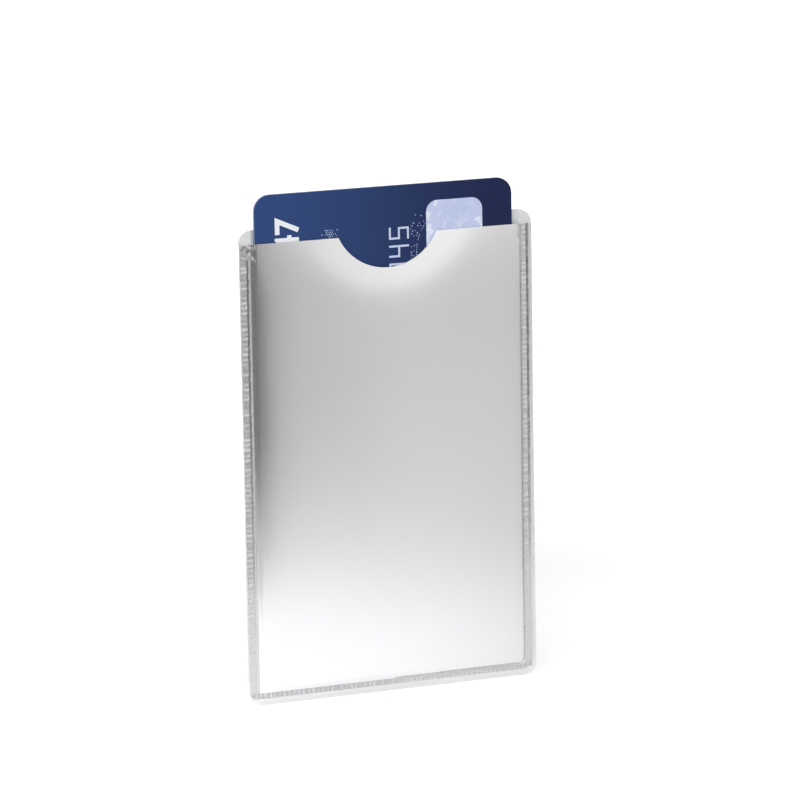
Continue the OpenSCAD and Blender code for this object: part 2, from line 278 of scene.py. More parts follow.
def floorMaterial():
    # far from the object the lamps no longer reach, and the paper's own white takes over
    material = bpy.data.materials.new("floorPaper")
    material.use_nodes = True
    tree = material.node_tree
    tree.nodes.clear()
    at = apart(tree, coordinates(tree))
    away = distance(tree, at[0], at[1])
    glow = remap(tree, away, *studio["seenRise"], studio["floorSeen"], 1, "SMOOTHSTEP")
    glow = calc(tree, "MULTIPLY", raysSeen(tree, "Is Camera Ray", "Is Transmission Ray"), glow)
    # painted light for reflections only: the paper glows for glossy rays in a bright patch beside the foot,
    # and far off
    nearX, nearY = (calc(tree, "SUBTRACT", at[i], studio["nearAt"][i]) for i in (0, 1))
    beside = distance(tree, nearX, nearY)
    near = remap(tree, beside, *studio["nearFall"], studio["nearGloss"], 0, "SMOOTHSTEP")
    far = remap(tree, away, *studio["farRise"], 0, studio["farGloss"], "SMOOTHSTEP")
    gloss = calc(tree, "MULTIPLY", raysSeen(tree, "Is Glossy Ray"), calc(tree, "ADD", near, far))
    diffuse = addNode(tree, "ShaderNodeBsdfDiffuse")
    diffuse.inputs["Color"].default_value = (*studio["floorColour"], 1)
    emission = addNode(tree, "ShaderNodeEmission")
    tree.links.new(calc(tree, "MAXIMUM", glow, gloss), emission.inputs["Strength"])
    total = addNode(tree, "ShaderNodeAddShader")
    tree.links.new(diffuse.outputs[0], total.inputs[0])
    tree.links.new(emission.outputs[0], total.inputs[1])
    output = addNode(tree, "ShaderNodeOutputMaterial")
    tree.links.new(total.outputs[0], output.inputs["Surface"])
    return material


def makeFloor():
    bm = bmesh.new()
    bmesh.ops.create_grid(bm, x_segments=1, y_segments=1, size=studio["floorSize"])
    mesh = meshFrom(bm, "floor")
    mesh.materials.append(floorMaterial())
    floor = addObject("floor", mesh)


def makeWorld():
    world = bpy.data.worlds.new("studioWorld")
    bpy.context.scene.world = world
    world.use_nodes = True
    tree = world.node_tree
    background = tree.nodes["Background"]
    background.inputs["Color"].default_value = (1, 1, 1, 1)
    seen = raysSeen(tree, "Is Camera Ray", "Is Transmission Ray", "Is Glossy Ray")
    strength = remap(tree, seen, 0, 1, studio["worldLight"], studio["worldSeen"])
    tree.links.new(strength, background.inputs["Strength"])


def makeLamp(name, at, size, power):
    data = bpy.data.lights.new(name, "AREA")
    data.shape = "DISK"
    data.size = size
    data.energy = power
    lamp = addObject(name, data)
    lamp.location = at
    lamp.rotation_mode = "QUATERNION"
    lamp.rotation_quaternion = (Vector(studio["lampAim"]) - Vector(at)).to_track_quat("-Z", "Y")


def flagMaterial(name, grey, fading):
    # matt grey; the fading one thins out towards its right end and its foot
    material, tree, shader = newMaterial(name)
    shader.inputs["Base Color"].default_value = (grey, grey, grey, 1)
    shader.inputs["Roughness"].default_value = 1
    if not fading:
        return material
    at = apart(tree, coordinates(tree))
    angle = calc(tree, "ARCTAN2", at[0], calc(tree, "MULTIPLY", at[1], -1))
    darkEnd, paleEnd = ([math.radians(a) for a in studio[k]] for k in ("darkEnd", "paleEnd"))
    dark = remap(tree, angle, *darkEnd, studio["flagDark"], 0, "SMOOTHSTEP")
    pale = remap(tree, angle, *paleEnd, studio["flagPale"], 0, "SMOOTHSTEP")
    foot = remap(tree, at[2], *studio["footRise"], studio["flagFoot"], 1, "SMOOTHSTEP")
    cover = calc(tree, "MULTIPLY", calc(tree, "ADD", dark, pale), foot)
    mixer = addNode(tree, "ShaderNodeMixShader")
    tree.links.new(cover, mixer.inputs[0])
    tree.links.new(addNode(tree, "ShaderNodeBsdfTransparent").outputs[0], mixer.inputs[1])
    tree.links.new(shader.outputs[0], mixer.inputs[2])
    tree.links.new(mixer.outputs[0], tree.nodes["Material Output"].inputs["Surface"])
    return material


def makeFlag(name, angles, grey, fading=False):
    # an upright screen on an arc round the object, seen only in reflections
    first, last = (math.radians(a) for a in angles)
    bm = bmesh.new()
    start = bm.verts.new(Vector((math.sin(first), -math.cos(first), 0)) * studio["flagDistance"])
    bmesh.ops.spin(bm, geom=[start], cent=(0, 0, 0), axis=(0, 0, 1), angle=last - first,
                   steps=studio["flagSteps"])
    risen = bmesh.ops.extrude_edge_only(bm, edges=bm.edges[:])["geom"]
    bmesh.ops.translate(bm, vec=(0, 0, studio["flagHeight"]), verts=onlyVerts(risen))
    mesh = meshFrom(bm, name)
    mesh.materials.append(flagMaterial(name, grey, fading))
    flag = addObject(name, mesh)
    flag.visible_camera = False
    flag.visible_diffuse = False
    flag.visible_shadow = False
    flag.visible_transmission = False


makeFloor()
makeWorld()
makeLamp("topLamp", studio["topAt"], studio["topSize"], studio["topPower"])
makeLamp("sideLamp", studio["sideAt"], studio["sideSize"], studio["sidePower"])
makeFlag("leftFlag", studio["leftFlag"], studio["leftGrey"], True)
makeFlag("rightFlag", studio["rightFlag"], studio["rightGrey"])
bpy.context.scene.view_settings.view_transform = "Standard"
print("studio ready")


# sizes taken from the frame

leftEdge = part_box("left_weld_seam")[0].x
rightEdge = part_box("right_weld_seam")[1].x
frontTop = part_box("front_outer_film")[1].z
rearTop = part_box("rear_outer_film")[1].z
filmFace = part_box("rear_outer_film")[1].y
liningFace = -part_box("front_lining")[1].y
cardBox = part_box("card_front_overlay")
cardFront = cardBox[0].y


# the side welds' ends at the mouth, melted into small lumps

melt = {
    "tall": 3.0 * mm, "lowEdge": 0.2 * mm, "wide": 3.2 * mm, "sideEdge": 0.25 * mm,
    "cutEdge": (0.2 * mm, 0.5 * mm), "ragged": 0.35 * mm, "raggedSpots": (2, 0.6 * mm),
    "rightShare": 0.2, "flatten": 0.6, "half": 0.24 * mm,
    "lump": 0.16 * mm, "lumpSpots": (4, 0.8 * mm), "fineSpots": (9, 0.33 * mm), "fineShare": 0.6,
    "bright": (0.05, 0.45), "dark": (0.1, 0.5), "darkShare": 0.6, "metalFrom": 0.3,
}


def meltedAt(x, z):
    # how far the sleeve is melted there, and the height of its lumps
    inward = min(x - leftEdge, rightEdge - x)
    low = frontTop - melt["tall"]
    ragged = melt["ragged"] * speckle(x, z, *melt["raggedSpots"])
    share = smooth(low - melt["lowEdge"], low + melt["lowEdge"], z + ragged)
    share *= smooth(*melt["cutEdge"], inward)
    share *= 1 - smooth(melt["wide"] - melt["sideEdge"], melt["wide"] + melt["sideEdge"], inward + ragged)
    if x > 0:
        share *= melt["rightShare"]
    lump = speckle(x, z, *melt["lumpSpots"])
    lump += melt["fineShare"] * speckle(x, z, *melt["fineSpots"])
    return share, lump


# the two laminated sheets

sheet = {
    "weldWidth": 2.4 * mm, "weldHalf": 0.2 * mm,
    "notchHalf": 10.3 * mm, "notchDeep": 6.55 * mm, "cornerRadius": 2.75 * mm, "tabRise": 0.8 * mm,
    "fastRise": 1.1 * mm, "rightRise": 0.55 * mm, "slowRise": 4 * mm, "slowShare": 0.12,
    "cornerSoft": 1.5 * mm, "wave": 0.03 * mm, "fineShare": 0.24,
    "softWave": (14 * mm, 26 * mm), "fineWave": (5 * mm, 9 * mm),
    "frontSeed": 3, "rearSeed": 21, "fineSeed": 7, "foilFrom": 0.36, "filmFrom": 0.57,
    "columns": 220, "rows": 130, "columnPower": 0.55, "rowPower": 0.75, "sideColumns": 10, "tabRows": 14,
}
notchRadius = (sheet["notchHalf"] ** 2 + sheet["notchDeep"] ** 2) / (2 * sheet["notchDeep"])
notchCentre = frontTop - sheet["notchDeep"] + notchRadius


def softMinimum(a, b, reach):
    # the smaller of two distances, rounded where they are alike
    share = min(max(0.5 + 0.5 * (b - a) / reach, 0), 1)
    return mix(b, a, share) - reach * share * (1 - share)


def riseAt(x, z):
    # how far the sheet has come up from the weld, 0 to 1
    inner = min(x - leftEdge, rightEdge - x) - sheet["weldWidth"]
    inner = max(softMinimum(inner, z - sheet["weldWidth"], sheet["cornerSoft"]), 0)
    fast = smooth(0, sheet["fastRise"] if x < 0 else sheet["rightRise"], inner)
    slow = 1 - math.exp(-inner / sheet["slowRise"])
    return mix(fast, slow, sheet["slowShare"])


def waveAt(x, z, seed):
    # shallow waves of the film, only inwards
    wide, tall = sheet["softWave"]
    soft = noise.noise(Vector((x / wide, z / tall, seed)))
    wide, tall = sheet["fineWave"]
    fine = noise.noise(Vector((x / wide, z / tall, seed + sheet["fineSeed"])))
    return sheet["wave"] * (0.5 + 0.5 * mix(soft, fine, sheet["fineShare"]))


def sheetFaces(x, z, seed):
    # how far the sheet's inner and outer face lie from the sleeve's middle plane
    melted, lump = meltedAt(x, z) if z <= frontTop else (0, 0)
    rise = riseAt(x, z) * (1 - melt["flatten"] * melted)
    wave = waveAt(x, z, seed) * rise
    inner = liningFace * rise - wave
    outer = mix(sheet["weldHalf"], filmFace, rise) - wave + melted * melt["lump"] * lump
    return max(inner, 0), max(outer, inner + sheet["weldHalf"] / 2)


def frontFaces(x, z):
    inner, outer = sheetFaces(x, z, sheet["frontSeed"])
    return -inner, -outer


def rearFaces(x, z):
    # above the mouth the sheet gets its full wall
    inner, outer = sheetFaces(x, z, sheet["rearSeed"])
    tab = smooth(frontTop, frontTop + sheet["tabRise"], z)
    return inner, max(outer, inner + mix(sheet["weldHalf"], filmFace - liningFace, tab))


def addThickness(bm, faces, low, high):
    # gives a flat layer its two sides, at the shares low and high of the sheet's thickness
    back = bmesh.ops.extrude_face_region(bm, geom=bm.faces[:])["geom"]
    inside = set(onlyVerts(back))
    for v in bm.verts:
        v.co.y = mix(*faces(v.co.x, v.co.z), low if v in inside else high)


def mouthAt(x):
    # height of the front sheet's edge
    if abs(x) >= sheet["notchHalf"]:
        return frontTop
    return notchCentre - math.sqrt(notchRadius ** 2 - x ** 2)


def columnPlaces():
    # x of the columns between the side welds
    half = rightEdge - sheet["weldWidth"]
    count = sheet["columns"]
    return [crowded(i / count, sheet["columnPower"]) * 2 * half - half for i in range(count + 1)]


def frontLayer(name, low, high, slot, material, node):
    # the front sheet has a column at each corner of its notch
    xs = columnPlaces()
    for corner in (-sheet["notchHalf"], sheet["notchHalf"]):
        nearest = min(range(len(xs)), key=lambda i: abs(xs[i] - corner))
        xs[nearest] = corner
    bm = bmesh.new()
    for v, across, up in shareGrid(bm, sheet["columns"], sheet["rows"]):
        x = xs[round(across * sheet["columns"])]
        v.co = (x, 0, mix(sheet["weldWidth"], mouthAt(x), crowded(up, sheet["rowPower"])))
    addThickness(bm, frontFaces, low, high)
    finishPiece(bm, name, "sleeve", [material], [node])


def rearLayer(name, low, high, slot, material, node):
    # the rear sheet stands above the mouth at its full width, with round corners
    half = rightEdge - sheet["weldWidth"]
    sideColumns, rows, tabRows = sheet["sideColumns"], sheet["rows"], sheet["tabRows"]
    sides = [half + (rightEdge - half) * (i + 1) / sideColumns for i in range(sideColumns)]
    xs = [-x for x in reversed(sides)] + columnPlaces() + sides
    zs = [mix(sheet["weldWidth"], frontTop, crowded(i / rows, sheet["rowPower"])) for i in range(rows + 1)]
    zs += [mix(frontTop, rearTop, (i + 1) / tabRows) for i in range(tabRows)]
    columns, rows = len(xs) - 1, len(zs) - 1
    bm = bmesh.new()
    for v, across, up in shareGrid(bm, columns, rows):
        v.co = (xs[round(across * columns)], 0, zs[round(up * rows)])
    beside = [f for f in bm.faces
              if abs(f.calc_center_median().x) > half and f.calc_center_median().z < frontTop]
    bmesh.ops.delete(bm, geom=beside, context="FACES")
    radius = sheet["cornerRadius"]
    for side in (-1, 1):
        roundCorner(bm, side * (rightEdge - radius), rearTop - radius, side, 1, radius)
    addThickness(bm, rearFaces, low, high)
    finishPiece(bm, name, "sleeve", [material], [node])


# how far the film's swells tilt it, and where they die away

swell = {
    "sideTilt": 0.16, "sideFade": 1.1 * mm, "bowTilt": 0.022, "bowFade": 14 * mm,
    "mouthShare": 0.15, "mouthReach": 15 * mm, "mouthTilt": 0.03, "mouthFade": 9 * mm,
    "notchTilt": 0.16, "notchFade": 4.2 * mm,
    "waver": 0.012, "waverScales": (24, 31),
}


def swellNormal(tree, vector, front):
    # soft swells that turn the film's reflections: beside the welds, at the mouth and round the notch
    at = apart(tree, vector)
    edge = rightEdge - sheet["weldWidth"]
    fromLeft = calc(tree, "ADD", at[0], edge)
    fromRight = calc(tree, "SUBTRACT", edge, at[0])
    tiltX = 0
    for tilt, fade in (("sideTilt", "sideFade"), ("bowTilt", "bowFade")):
        left = dieAway(tree, fromLeft, swell[fade])
        right = dieAway(tree, fromRight, swell[fade])
        tiltX = calc(tree, "MULTIPLY_ADD", calc(tree, "SUBTRACT", right, left), swell[tilt], tiltX)
    # the open mouth lets the sheet lie flatter
    below = calc(tree, "SUBTRACT", frontTop, at[2])
    flatter = remap(tree, below, 0, swell["mouthReach"], swell["mouthShare"], 1, "SMOOTHSTEP")
    tiltX = calc(tree, "MULTIPLY", tiltX, flatter)
    tiltZ = calc(tree, "MULTIPLY", dieAway(tree, below, swell["mouthFade"]), swell["mouthTilt"])
    if front:
        reach = distance(tree, at[0], calc(tree, "SUBTRACT", at[2], notchCentre))
        past = calc(tree, "MAXIMUM", calc(tree, "SUBTRACT", reach, notchRadius), 0)
        lip = calc(tree, "MULTIPLY", dieAway(tree, past, swell["notchFade"]), swell["notchTilt"])
        tiltZ = calc(tree, "ADD", tiltZ, lip)
    lean = addNode(tree, "ShaderNodeCombineXYZ")
    for tilt, scale, socket in zip((tiltX, tiltZ), swell["waverScales"], (0, 2)):
        waver = calc(tree, "SUBTRACT", noiseNode(tree, vector, scale, 0), 0.5)
        tilt = calc(tree, "ADD", tilt, calc(tree, "MULTIPLY", waver, swell["waver"]))
        tree.links.new(tilt, lean.inputs[socket])
    geometry = addNode(tree, "ShaderNodeNewGeometry")
    total = addNode(tree, "ShaderNodeVectorMath", operation="ADD")
    tree.links.new(geometry.outputs["Normal"], total.inputs[0])
    tree.links.new(lean.outputs[0], total.inputs[1])
    unit = addNode(tree, "ShaderNodeVectorMath", operation="NORMALIZE")
    tree.links.new(total.outputs[0], unit.inputs[0])
    return unit.outputs[0]


# the sheets' tones, from dark to pale, and their finishes

finish = {
    "film": ((0.866, 0.857, 0.868), (0.891, 0.882, 0.892)), "filmCloud": 60,
    "filmRough": (0.19, 0.21), "filmRoughCloud": 45, "coat": 0.6, "coatRough": 0.12,
    "foil": ((0.78, 0.78, 0.8), (0.88, 0.88, 0.9)), "foilCloud": 400, "foilRough": 0.3,
    "lining": ((0.7, 0.71, 0.715), (0.78, 0.79, 0.79)), "liningCloud": 500, "liningRough": (0.42, 0.55),
}


def filmMaterial(name, front):
    # foil under a clear film: satin metal with a gloss coat
    material, tree, shader = newMaterial(name)
    vector = coordinates(tree)
    tree.links.new(swellNormal(tree, vector, front), shader.inputs["Normal"])
    cloudColour(tree, shader, noiseNode(tree, vector, finish["filmCloud"], 0), finish["film"])
    shader.inputs["Metallic"].default_value = 1
    cloud = noiseNode(tree, vector, finish["filmRoughCloud"], 0)
    tree.links.new(stretched(tree, cloud, *finish["filmRough"]), shader.inputs["Roughness"])
    shader.inputs["Coat Weight"].default_value = finish["coat"]
    shader.inputs["Coat Roughness"].default_value = finish["coatRough"]
    return material


def foilMaterial():
    material, tree, shader = newMaterial("shieldFoil")
    cloudColour(tree, shader, noiseNode(tree, coordinates(tree), finish["foilCloud"], 3), finish["foil"])
    shader.inputs["Metallic"].default_value = 1
    shader.inputs["Roughness"].default_value = finish["foilRough"]
    return material


def liningMaterial():
    material, tree, shader = newMaterial("paleLining")
    cloud = noiseNode(tree, coordinates(tree), finish["liningCloud"], 4)
    cloudColour(tree, shader, cloud, finish["lining"])
    tree.links.new(stretched(tree, cloud, *finish["liningRough"]), shader.inputs["Roughness"])
    return material


foil = foilMaterial()
lining = liningMaterial()


def makeSheet(word, makeLayer, film, nodes):
    # three layers from the inside out, each from one share of the sheet's thickness to the next
    shares = (0, sheet["foilFrom"], sheet["filmFrom"], 1)
    kinds = (("Lining", "lining", lining), ("Foil", "shield_foil", foil), ("Film", "clear_film", film))
    for i, (part, slot, material) in enumerate(kinds):
        makeLayer(word + part, shares[i], shares[i + 1], slot, material, nodes[i])


makeSheet("front", frontLayer, filmMaterial("frontFilm", True),
          ("front_lining", "front_shield_foil", "front_outer_film"))
makeSheet("rear", rearLayer, filmMaterial("rearFilm", False),
          ("rear_lining", "rear_shield_foil", "rear_outer_film"))


# the welds: both sheets pressed together, with a ladder of rungs and a frosted clear rim

weld = {
    "leftRim": 0.3 * mm, "rim": 1.3 * mm, "ladder": 1.05 * mm, "leftLadder": 1.25 * mm,
    "widenOver": 3 * mm, "turn": 0.8 * mm, "rail": 0.15 * mm, "soft": 0.05 * mm, "runOut": 0.12 * mm,
    "rimHalf": 0.2 * mm, "grooveHalf": 0.12 * mm, "landHalf": 0.19 * mm,
    "railHalf": 0.26 * mm, "rungHalf": 0.31 * mm,
    "groove": 0.5 * mm, "waver": 0.12 * mm, "leftGroove": 0.35 * mm, "leftWaver": 0.15 * mm,
    "mottleSpots": (1, 0.7 * mm), "grooveMean": 0.85, "grooveMottle": 0.5,
    "shallow": 0.15, "shallowBelow": 15 * mm, "deepAbove": 72 * mm,
    "rightLine": (2.3 * mm, 2.5 * mm), "lineDepth": 0.12,
    "leftRidge": (1.9 * mm, 2.2 * mm), "ridgeShine": 0.6,
    "rungPitch": 1.0 * mm, "rungWidth": 0.38 * mm, "rungLeast": 0.35, "rungStray": 0.12 * mm,
    "weakRung": 0.1, "weakShare": 0.12, "smoothBelow": 21 * mm, "smoothTo": 29 * mm, "smoothShare": 0.75,
    "grainDeep": 0.014 * mm, "grainSpots": (0, 0.35 * mm),
    "columns": 36, "step": 0.11 * mm, "seed": 5,
}
ladderLeft = leftEdge + weld["leftRim"] + weld["leftLadder"] / 2
ladderRight = rightEdge - weld["rim"] - weld["ladder"] / 2
ladderLow = weld["rim"] + weld["ladder"] / 2
rungCount = int((2 * frontTop + rightEdge - leftEdge) / weld["rungPitch"]) + 2
rungDice = random.Random(weld["seed"])


def rollHeight():
    # a few rungs hardly show, and the others differ in height
    if rungDice.random() > weld["weakShare"]:
        return rungDice.uniform(weld["rungLeast"], 1.0)
    return weld["weakRung"]


rungHeight = [rollHeight() for i in range(rungCount)]
rungShift = [rungDice.uniform(-1, 1) * weld["rungStray"] for i in range(rungCount)]


def alongLadder(x, z):
    # distance along the ladder from the mouth at the left, and outwards from its middle line
    turn = weld["turn"]
    low = ladderLow + turn
    down = frontTop - low
    bend = turn * math.pi / 2
    across = ladderRight - ladderLeft - 2 * turn
    if z >= low:
        if x < 0:
            return frontTop - z, ladderLeft - x
        return down + 2 * bend + across + z - low, x - ladderRight
    corners = (-1, ladderLeft + turn, down), (1, ladderRight - turn, down + bend + across)
    for side, middle, start in corners:
        if (x - middle) * side > 0:
            dx, dz = abs(x - middle), low - z
            angle = math.atan2(dz, dx)
            along = angle if side < 0 else math.pi / 2 - angle
            return start + turn * along, math.hypot(dx, dz) - turn
    return down + bend + x - ladderLeft - turn, ladderLow - z


def legAt(x, z):
    # which leg of the ladder is there
    if x < 0 and z > ladderLow + weld["turn"]:
        return "left"
    return "right" if x > 0 and z > ladderLow else "bottom"


def grooveAt(x, z, leg, out, ladderHalf, inward):
    # depth of the groove beside the ladder, 0 to 1, which also sets the painted shade in it; at the left it
    # is on the inner side
    soft = weld["soft"]
    mottle = speckle(x, z, *weld["mottleSpots"])
    if leg == "left":
        width = weld["leftGroove"] - weld["leftWaver"] * mottle
        groove = band(out, -ladderHalf - width, -ladderHalf, soft)
    else:
        width = weld["groove"] + weld["waver"] * mottle
        groove = band(out, ladderHalf, ladderHalf + width, soft)
    groove *= min(weld["grooveMean"] + weld["grooveMottle"] * mottle, 1)
    if leg == "right":
        groove = max(groove, weld["lineDepth"] * band(inward, *weld["rightLine"], soft))
    if leg != "bottom":
        groove *= mix(weld["shallow"], 1, smooth(weld["shallowBelow"], weld["deepAbove"], z))
    return groove


def rungAt(z, leg, along):
    # height of the rung there, 0 to 1, which also sets the painted highlight on it; low down at the sides
    # they are nearly pressed flat
    pitch, side = weld["rungPitch"], weld["rungWidth"] / 2
    index = min(max(int(along / pitch), 0), rungCount - 1)
    phase = along - index * pitch - pitch / 2 - rungShift[index]
    rung = rungHeight[index] * band(phase, -side, side, weld["soft"])
    if leg != "bottom":
        rung *= 1 - weld["smoothShare"] * (1 - smooth(weld["smoothBelow"], weld["smoothTo"], z))
    return rung


def weldAt(x, z):
    # half thickness of the weld there, how far it is groove and rung, which also set its painted shade and
    # painted highlight, and whether it is metal
    along, out = alongLadder(x, z)
    leg = legAt(x, z)
    soft = weld["soft"]
    inward = min(x - leftEdge, rightEdge - x)
    widen = smooth(ladderLow, ladderLow + weld["widenOver"], z) if x < 0 else 0
    ladderHalf = mix(weld["ladder"], weld["leftLadder"], widen) / 2
    onLadder = band(out, -ladderHalf, ladderHalf, soft)
    groove = grooveAt(x, z, leg, out, ladderHalf, inward)
    rung = onLadder * rungAt(z, leg, along)
    rail = onLadder * band(abs(out), ladderHalf - weld["rail"], ladderHalf, soft)
    half = mix(weld["rimHalf"], weld["landHalf"], onLadder)
    half = mix(half, weld["grooveHalf"], groove)
    half = max(half, mix(half, weld["railHalf"], rail), mix(half, weld["rungHalf"], rung))
    # the left weld's inner ridge, raised, and with a painted highlight on it
    if leg == "left":
        ridge = band(inward, *weld["leftRidge"], soft)
        half = mix(half, weld["railHalf"], ridge)
        rung = max(rung, weld["ridgeShine"] * ridge)
    half += weld["grainDeep"] * speckle(x, z, *weld["grainSpots"])
    melted, lump = meltedAt(x, z)
    half = mix(half, melt["half"] + melt["lump"] / 2 * lump, melted)
    # painted glints on the melted lumps' tops, and painted shade in their hollows
    rung = mix(rung, smooth(*melt["bright"], lump), melted)
    groove = mix(groove, melt["darkShare"] * smooth(*melt["dark"], -lump), melted)
    # the inner edge runs out level with the sheets
    toSheet = smooth(sheet["weldWidth"] - weld["runOut"], sheet["weldWidth"], min(inward, z))
    half = mix(half, sheet["weldHalf"], toSheet * (1 - melted))
    metalTo = ladderHalf + (weld["groove"] if leg == "right" else 0)
    return half, groove, rung, out < metalTo or melted > melt["metalFrom"]


def onLeft(along, across):
    return leftEdge + across, mix(across, frontTop, along)


def onRight(along, across):
    return rightEdge - across, mix(across, frontTop, along)


def onBottom(along, across):
    return mix(leftEdge + across, rightEdge - across, along), across


def weldStrip(name, count, placed, corners, materials, node):
    # placed gives x and z, mitred at the bottom; the strip is closed by a copy on its other face
    bm = bmesh.new()
    for v, across, along in shareGrid(bm, weld["columns"], count):
        x, z = placed(along, across * sheet["weldWidth"])
        v.co = (x, 0, z)
    radius = sheet["cornerRadius"]
    for side in corners:
        roundCorner(bm, side * (rightEdge - radius), radius, side, -1, radius)
    back = bmesh.ops.extrude_face_region(bm, geom=bm.faces[:])["geom"]
    behind = set(onlyVerts(back))
    # the groove and rung values become painted shade and painted highlight in the pressed foil's colour
    grooveShadeLayer = bm.verts.layers.float.new("groove")
    rungShineLayer = bm.verts.layers.float.new("rung")
    for v in bm.verts:
        half, v[grooveShadeLayer], v[rungShineLayer] = weldAt(v.co.x, v.co.z)[:3]
        v.co.y = half if v in behind else -half
    for f in bm.faces:
        middle = f.calc_center_median()
        f.material_index = 0 if weldAt(middle.x, middle.z)[3] else 1
    finishPiece(bm, name, "sleeve", materials, [node])


# the welds' two finishes: pressed foil with painted shade in its grooves and painted highlights on its
# rungs, and the frosted clear rim outside it, painted greyer up the sides

pressed = {
    "grain": ((0.68, 0.68, 0.69), (0.9, 0.9, 0.905)), "grainScale": 2500,
    "leftPaintedShade": (0.3, 0.3, 0.3), "leftShadeShare": 0.14, "leftBlend": 1 * mm,
    "rung": (0.93, 0.93, 0.94), "groove": (0.36, 0.36, 0.37),
    "pale": (0.95, 0.95, 0.955), "paleShare": 0.5, "paleFrom": (2 * mm, 3 * mm),
    "metal": 0.8, "rough": (0.25, 0.5), "coat": 0.5, "coatRough": 0.1,
    "bumpScale": 4000, "bumpStrength": 0.4, "bumpDeep": 0.05 * mm,
}


def pressedMaterial():
    material, tree, shader = newMaterial("pressedFoil")
    vector = coordinates(tree)
    at = apart(tree, vector)
    grain = noiseNode(tree, vector, pressed["grainScale"], 2)
    tone = mixColour(tree, grain, *pressed["grain"])
    # painted shade: the left weld's colour is mixed a little towards dark grey
    blend = pressed["leftBlend"]
    left = remap(tree, at[0], -blend, blend, pressed["leftShadeShare"], 0)
    tone = mixColour(tree, left, tone, pressed["leftPaintedShade"])
    # painted highlight on the rungs and painted shade in the grooves
    tone = mixColour(tree, attribute(tree, "rung"), tone, pressed["rung"])
    tone = mixColour(tree, attribute(tree, "groove"), tone, pressed["groove"])
    # lower down the sides the weld is smooth, and painted paler as a painted reflection of the bright floor
    pale = remap(tree, at[2], weld["smoothTo"], weld["smoothBelow"], 0, pressed["paleShare"], "SMOOTHSTEP")
    sides = remap(tree, at[2], *pressed["paleFrom"], 0, 1, "SMOOTHSTEP")
    tone = mixColour(tree, calc(tree, "MULTIPLY", pale, sides), tone, pressed["pale"])
    tree.links.new(tone, shader.inputs["Base Color"])
    shader.inputs["Metallic"].default_value = pressed["metal"]
    tree.links.new(stretched(tree, grain, *pressed["rough"]), shader.inputs["Roughness"])
    shader.inputs["Coat Weight"].default_value = pressed["coat"]
    shader.inputs["Coat Roughness"].default_value = pressed["coatRough"]
    bump = addNode(tree, "ShaderNodeBump")
    bump.inputs["Strength"].default_value = pressed["bumpStrength"]
    bump.inputs["Distance"].default_value = pressed["bumpDeep"]
    tree.links.new(noiseNode(tree, vector, pressed["bumpScale"], 2), bump.inputs["Height"])
    tree.links.new(bump.outputs[0], shader.inputs["Normal"])
    return material


rim = {
    "white": ((0.97, 0.97, 0.972), (0.995, 0.995, 0.995)), "cloudScale": 900,
    "greyInside": (0.28, 0.28, 0.285), "greyOutside": (0.58, 0.58, 0.585),
    "greyFrom": (2 * mm, 6 * mm), "greyRise": (15 * mm, 70 * mm), "greyLeast": 0.2,
    "rough": 0.4, "bending": 1.48, "clear": 0.7,
}


def clearRimMaterial():
    material, tree, shader = newMaterial("clearRim")
    vector = coordinates(tree)
    at = apart(tree, vector)
    white = mixColour(tree, noiseNode(tree, vector, rim["cloudScale"], 2), *rim["white"])
    # painted darker reflections: greyer up the sides, most of all beside the groove
    outward = remap(tree, calc(tree, "ABSOLUTE", at[0]), rightEdge - weld["rim"], rightEdge, 0, 1)
    grey = mixColour(tree, outward, rim["greyInside"], rim["greyOutside"])
    up = remap(tree, at[2], *rim["greyFrom"], 0, 1, "SMOOTHSTEP")
    up = calc(tree, "MULTIPLY", up, remap(tree, at[2], *rim["greyRise"], rim["greyLeast"], 1))
    tree.links.new(mixColour(tree, up, white, grey), shader.inputs["Base Color"])
    shader.inputs["Roughness"].default_value = rim["rough"]
    shader.inputs["IOR"].default_value = rim["bending"]
    shader.inputs["Transmission Weight"].default_value = rim["clear"]
    return material


def makeWelds():
    materials = [pressedMaterial(), clearRimMaterial()]
    sideCount = round(frontTop / weld["step"])
    lowCount = round((rightEdge - leftEdge) / weld["step"])
    weldStrip("leftWeld", sideCount, onLeft, (-1,), materials, "left_weld_seam")
    weldStrip("rightWeld", sideCount, onRight, (1,), materials, "right_weld_seam")
    weldStrip("bottomWeld", lowCount, onBottom, (-1, 1), materials, "bottom_weld_seam")


makeWelds()


# the print on the card's front, raised a hair; the card stands on its short side, so it reads sideways

printing = {
    "inkHeight": 0.012 * mm, "inkCloud": 1200, "inkRough": 0.3,
    "numberText": "4567 8901 2345", "numberTop": 92.97 * mm, "numberMiddle": 2.5 * mm,
    "numberPitch": 3.56 * mm, "numberGap": 2.4 * mm,
    "numberWide": 2.0 * mm, "numberTall": 3.8 * mm, "numberStroke": 0.4 * mm,
    "numberInk": ((0.55, 0.62, 0.85), (0.62, 0.7, 0.92)),
    "headText": "247", "headTop": 96.7 * mm, "headFrom": -18.52 * mm,
    "headTall": 4.95 * mm, "headBold": 0.16 * mm, "fontShare": 0.73,
    "headInk": ((0.82, 0.88, 0.92), (0.9, 0.94, 0.97)),
    "dotInk": ((0.4, 0.5, 0.75), (0.55, 0.65, 0.9)),
}

# the digits' seven strokes, as the columns and rows that each fills in a grid of 3 by 5 cells
strokes = {
    "a": ((0, 1, 2), (4,)), "b": ((2,), (2, 3, 4)), "c": ((2,), (0, 1, 2)), "d": ((0, 1, 2), (0,)),
    "e": ((0,), (0, 1, 2)), "f": ((0,), (2, 3, 4)), "g": ((0, 1, 2), (2,)),
}
digits = {
    "0": "abcdef", "1": "bc", "2": "abged", "3": "abgcd", "4": "fgbc",
    "5": "afgcd", "6": "afgedc", "7": "abc", "8": "abcdefg", "9": "abcdfg",
}


